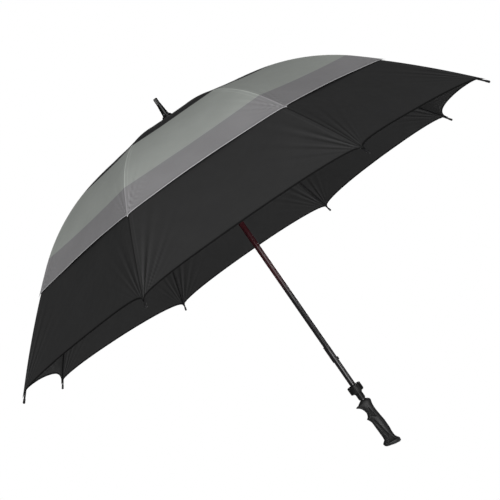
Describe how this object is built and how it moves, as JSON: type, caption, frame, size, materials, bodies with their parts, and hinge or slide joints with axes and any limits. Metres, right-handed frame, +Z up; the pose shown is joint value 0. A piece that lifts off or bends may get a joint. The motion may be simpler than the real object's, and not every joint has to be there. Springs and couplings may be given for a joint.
{
  "type": "golf umbrella",
  "caption": "Large vented double-canopy golf umbrella with folding ribs, a sliding runner on a straight shaft and a moulded pistol-style grip.",
  "frame": {"origin": "on the shaft axis at the end of the handle", "axes": "+Z up the shaft to the ferrule, -X towards the finger side of the handle; drawn open"},
  "size_m": [1.2294, 1.2294, 0.9992],
  "materials": {
    "shaft": "dark wound fibreglass under clear lacquer",
    "ferrule": "polished black",
    "fittings": "moulded black nylon",
    "wire": "zinc plated wire",
    "springs": "spring steel",
    "ribs": "black fibreglass rod",
    "grip": "matte soft-touch rubber",
    "cap": "moulded plastic",
    "vent_cloth": "sage grey pongee, plain weave",
    "canopy_cloth": "black pongee, plain weave"
  },
  "bodies": {
    "shaft": {"shaft_tube": "shaft", "ferrule": "ferrule", "ferrule_skirt": "ferrule", "top_notch": "fittings", "notch_wire": "wire", "tip_cup": "fittings", "handle_grip": "grip", "handle_end_cap": "cap"},
    "top_catch": {"top_spring": "springs"},
    "bottom_catch": {"bottom_spring": "fittings"},
    "runner_body": {"runner": "fittings", "runner_wire": "wire"},
    "rib_body_1": {"rib_1": "ribs", "vent_inner_1": "vent_cloth"},
    "rib_outer_body_1": {"rib_outer_1": "ribs", "vent_outer_1": "vent_cloth", "canopy_1": "canopy_cloth"},
    "stretcher_body_1": {"stretcher_1": "ribs"},
    "rib_body_2": {"rib_2": "ribs", "vent_inner_2": "vent_cloth"},
    "rib_outer_body_2": {"rib_outer_2": "ribs", "vent_outer_2": "vent_cloth", "canopy_2": "canopy_cloth"},
    "stretcher_body_2": {"stretcher_2": "ribs"},
    "rib_body_3": {"rib_3": "ribs", "vent_inner_3": "vent_cloth"},
    "rib_outer_body_3": {"rib_outer_3": "ribs", "vent_outer_3": "vent_cloth", "canopy_3": "canopy_cloth"},
    "stretcher_body_3": {"stretcher_3": "ribs"},
    "rib_body_4": {"rib_4": "ribs", "vent_inner_4": "vent_cloth"},
    "rib_outer_body_4": {"rib_outer_4": "ribs", "vent_outer_4": "vent_cloth", "canopy_4": "canopy_cloth"},
    "stretcher_body_4": {"stretcher_4": "ribs"},
    "rib_body_5": {"rib_5": "ribs", "vent_inner_5": "vent_cloth"},
    "rib_outer_body_5": {"rib_outer_5": "ribs", "vent_outer_5": "vent_cloth", "canopy_5": "canopy_cloth"},
    "stretcher_body_5": {"stretcher_5": "ribs"},
    "rib_body_6": {"rib_6": "ribs", "vent_inner_6": "vent_cloth"},
    "rib_outer_body_6": {"rib_outer_6": "ribs", "vent_outer_6": "vent_cloth", "canopy_6": "canopy_cloth"},
    "stretcher_body_6": {"stretcher_6": "ribs"},
    "rib_body_7": {"rib_7": "ribs", "vent_inner_7": "vent_cloth"},
    "rib_outer_body_7": {"rib_outer_7": "ribs", "vent_outer_7": "vent_cloth", "canopy_7": "canopy_cloth"},
    "stretcher_body_7": {"stretcher_7": "ribs"},
    "rib_body_8": {"rib_8": "ribs", "vent_inner_8": "vent_cloth"},
    "rib_outer_body_8": {"rib_outer_8": "ribs", "vent_outer_8": "vent_cloth", "canopy_8": "canopy_cloth"},
    "stretcher_body_8": {"stretcher_8": "ribs"}
  },
  "joints": [
    {"name": "canopy_fold", "type": "hinge", "parent": "shaft", "child": "rib_body_1", "pos_m": [0.00961, 0.00398, 0.92874], "axis": [-0.3827, 0.9239, 0], "range_deg": [0, 74.5], "deforming": ["vent_inner_1", "vent_inner_2", "vent_inner_3", "vent_inner_4", "vent_inner_5", "vent_inner_6", "vent_inner_7", "vent_inner_8", "vent_outer_1", "vent_outer_2", "vent_outer_3", "vent_outer_4", "vent_outer_5", "vent_outer_6", "vent_outer_7", "vent_outer_8", "canopy_1", "canopy_2", "canopy_3", "canopy_4", "canopy_5", "canopy_6", "canopy_7", "canopy_8"]},
    {"name": "rib_flex_1", "type": "hinge", "parent": "rib_body_1", "child": "rib_outer_body_1", "pos_m": [0.32842, 0.13604, 0.8516], "axis": [-0.3827, 0.9239, 0], "range_deg": [-25.28, 0]},
    {"name": "stretcher_turn_1", "type": "hinge", "parent": "rib_body_1", "child": "stretcher_body_1", "pos_m": [0.31341, 0.12982, 0.85057], "axis": [-0.3827, 0.9239, 0], "range_deg": [-149, 0]},
    {"name": "rib_fold_2", "type": "hinge", "parent": "shaft", "child": "rib_body_2", "pos_m": [0.00398, 0.00961, 0.92874], "axis": [-0.9239, 0.3827, 0], "range_deg": [0, 74.5]},
    {"name": "rib_flex_2", "type": "hinge", "parent": "rib_body_2", "child": "rib_outer_body_2", "pos_m": [0.13604, 0.32842, 0.8516], "axis": [-0.9239, 0.3827, 0], "range_deg": [-25.28, 0]},
    {"name": "stretcher_turn_2", "type": "hinge", "parent": "rib_body_2", "child": "stretcher_body_2", "pos_m": [0.12982, 0.31341, 0.85057], "axis": [-0.9239, 0.3827, 0], "range_deg": [-149, 0]},
    {"name": "rib_fold_3", "type": "hinge", "parent": "shaft", "child": "rib_body_3", "pos_m": [-0.00398, 0.00961, 0.92874], "axis": [-0.9239, -0.3827, 0], "range_deg": [0, 74.5]},
    {"name": "rib_flex_3", "type": "hinge", "parent": "rib_body_3", "child": "rib_outer_body_3", "pos_m": [-0.13604, 0.32842, 0.8516], "axis": [-0.9239, -0.3827, 0], "range_deg": [-25.28, 0]},
    {"name": "stretcher_turn_3", "type": "hinge", "parent": "rib_body_3", "child": "stretcher_body_3", "pos_m": [-0.12982, 0.31341, 0.85057], "axis": [-0.9239, -0.3827, 0], "range_deg": [-149, 0]},
    {"name": "rib_fold_4", "type": "hinge", "parent": "shaft", "child": "rib_body_4", "pos_m": [-0.00961, 0.00398, 0.92874], "axis": [-0.3827, -0.9239, 0], "range_deg": [0, 74.5]},
    {"name": "rib_flex_4", "type": "hinge", "parent": "rib_body_4", "child": "rib_outer_body_4", "pos_m": [-0.32842, 0.13604, 0.8516], "axis": [-0.3827, -0.9239, 0], "range_deg": [-25.28, 0]},
    {"name": "stretcher_turn_4", "type": "hinge", "parent": "rib_body_4", "child": "stretcher_body_4", "pos_m": [-0.31341, 0.12982, 0.85057], "axis": [-0.3827, -0.9239, 0], "range_deg": [-149, 0]},
    {"name": "rib_fold_5", "type": "hinge", "parent": "shaft", "child": "rib_body_5", "pos_m": [-0.00961, -0.00398, 0.92874], "axis": [0.3827, -0.9239, 0], "range_deg": [0, 74.5]},
    {"name": "rib_flex_5", "type": "hinge", "parent": "rib_body_5", "child": "rib_outer_body_5", "pos_m": [-0.32842, -0.13604, 0.8516], "axis": [0.3827, -0.9239, 0], "range_deg": [-25.28, 0]},
    {"name": "stretcher_turn_5", "type": "hinge", "parent": "rib_body_5", "child": "stretcher_body_5", "pos_m": [-0.31341, -0.12982, 0.85057], "axis": [0.3827, -0.9239, 0], "range_deg": [-149, 0]},
    {"name": "rib_fold_6", "type": "hinge", "parent": "shaft", "child": "rib_body_6", "pos_m": [-0.00398, -0.00961, 0.92874], "axis": [0.9239, -0.3827, 0], "range_deg": [0, 74.5]},
    {"name": "rib_flex_6", "type": "hinge", "parent": "rib_body_6", "child": "rib_outer_body_6", "pos_m": [-0.13604, -0.32842, 0.8516], "axis": [0.9239, -0.3827, 0], "range_deg": [-25.28, 0]},
    {"name": "stretcher_turn_6", "type": "hinge", "parent": "rib_body_6", "child": "stretcher_body_6", "pos_m": [-0.12982, -0.31341, 0.85057], "axis": [0.9239, -0.3827, 0], "range_deg": [-149, 0]},
    {"name": "rib_fold_7", "type": "hinge", "parent": "shaft", "child": "rib_body_7", "pos_m": [0.00398, -0.00961, 0.92874], "axis": [0.9239, 0.3827, 0], "range_deg": [0, 74.5]},
    {"name": "rib_flex_7", "type": "hinge", "parent": "rib_body_7", "child": "rib_outer_body_7", "pos_m": [0.13604, -0.32842, 0.8516], "axis": [0.9239, 0.3827, 0], "range_deg": [-25.28, 0]},
    {"name": "stretcher_turn_7", "type": "hinge", "parent": "rib_body_7", "child": "stretcher_body_7", "pos_m": [0.12982, -0.31341, 0.85057], "axis": [0.9239, 0.3827, 0], "range_deg": [-149, 0]},
    {"name": "rib_fold_8", "type": "hinge", "parent": "shaft", "child": "rib_body_8", "pos_m": [0.00961, -0.00398, 0.92874], "axis": [0.3827, 0.9239, 0], "range_deg": [0, 74.5]},
    {"name": "rib_flex_8", "type": "hinge", "parent": "rib_body_8", "child": "rib_outer_body_8", "pos_m": [0.32842, -0.13604, 0.8516], "axis": [0.3827, 0.9239, 0], "range_deg": [-25.28, 0]},
    {"name": "stretcher_turn_8", "type": "hinge", "parent": "rib_body_8", "child": "stretcher_body_8", "pos_m": [0.31341, -0.12982, 0.85057], "axis": [0.3827, 0.9239, 0], "range_deg": [-149, 0]},
    {"name": "runner_hold", "type": "hinge", "parent": "stretcher_body_1", "child": "runner_body", "pos_m": [0.00961, 0.00398, 0.77239], "axis": [-0.3827, 0.9239, 0], "range_deg": [0, 74.5]},
    {"name": "top_catch_press", "type": "hinge", "parent": "shaft", "child": "top_catch", "pos_m": [-0.0042, 0, 0.68199], "axis": [0, 1, 0], "range_deg": [0, 4], "stiffness_Nm_per_rad": 1, "springref_deg": -5.73},
    {"name": "bottom_catch_press", "type": "hinge", "parent": "shaft", "child": "bottom_catch", "pos_m": [0, 0, 0.244], "axis": [0, 1, 0], "range_deg": [0, 3], "stiffness_Nm_per_rad": 1, "springref_deg": -5.73}
  ],
  "couplings": [
    {"joint": "rib_flex_1", "follows": "canopy_fold", "ratio": -0.338},
    {"joint": "stretcher_turn_1", "follows": "canopy_fold", "ratio": -2},
    {"joint": "rib_fold_2", "follows": "canopy_fold", "ratio": 1},
    {"joint": "rib_flex_2", "follows": "canopy_fold", "ratio": -0.338},
    {"joint": "stretcher_turn_2", "follows": "canopy_fold", "ratio": -2},
    {"joint": "rib_fold_3", "follows": "canopy_fold", "ratio": 1},
    {"joint": "rib_flex_3", "follows": "canopy_fold", "ratio": -0.338},
    {"joint": "stretcher_turn_3", "follows": "canopy_fold", "ratio": -2},
    {"joint": "rib_fold_4", "follows": "canopy_fold", "ratio": 1},
    {"joint": "rib_flex_4", "follows": "canopy_fold", "ratio": -0.338},
    {"joint": "stretcher_turn_4", "follows": "canopy_fold", "ratio": -2},
    {"joint": "rib_fold_5", "follows": "canopy_fold", "ratio": 1},
    {"joint": "rib_flex_5", "follows": "canopy_fold", "ratio": -0.338},
    {"joint": "stretcher_turn_5", "follows": "canopy_fold", "ratio": -2},
    {"joint": "rib_fold_6", "follows": "canopy_fold", "ratio": 1},
    {"joint": "rib_flex_6", "follows": "canopy_fold", "ratio": -0.338},
    {"joint": "stretcher_turn_6", "follows": "canopy_fold", "ratio": -2},
    {"joint": "rib_fold_7", "follows": "canopy_fold", "ratio": 1},
    {"joint": "rib_flex_7", "follows": "canopy_fold", "ratio": -0.338},
    {"joint": "stretcher_turn_7", "follows": "canopy_fold", "ratio": -2},
    {"joint": "rib_fold_8", "follows": "canopy_fold", "ratio": 1},
    {"joint": "rib_flex_8", "follows": "canopy_fold", "ratio": -0.338},
    {"joint": "stretcher_turn_8", "follows": "canopy_fold", "ratio": -2},
    {"joint": "runner_hold", "follows": "canopy_fold", "ratio": 1}
  ]
}
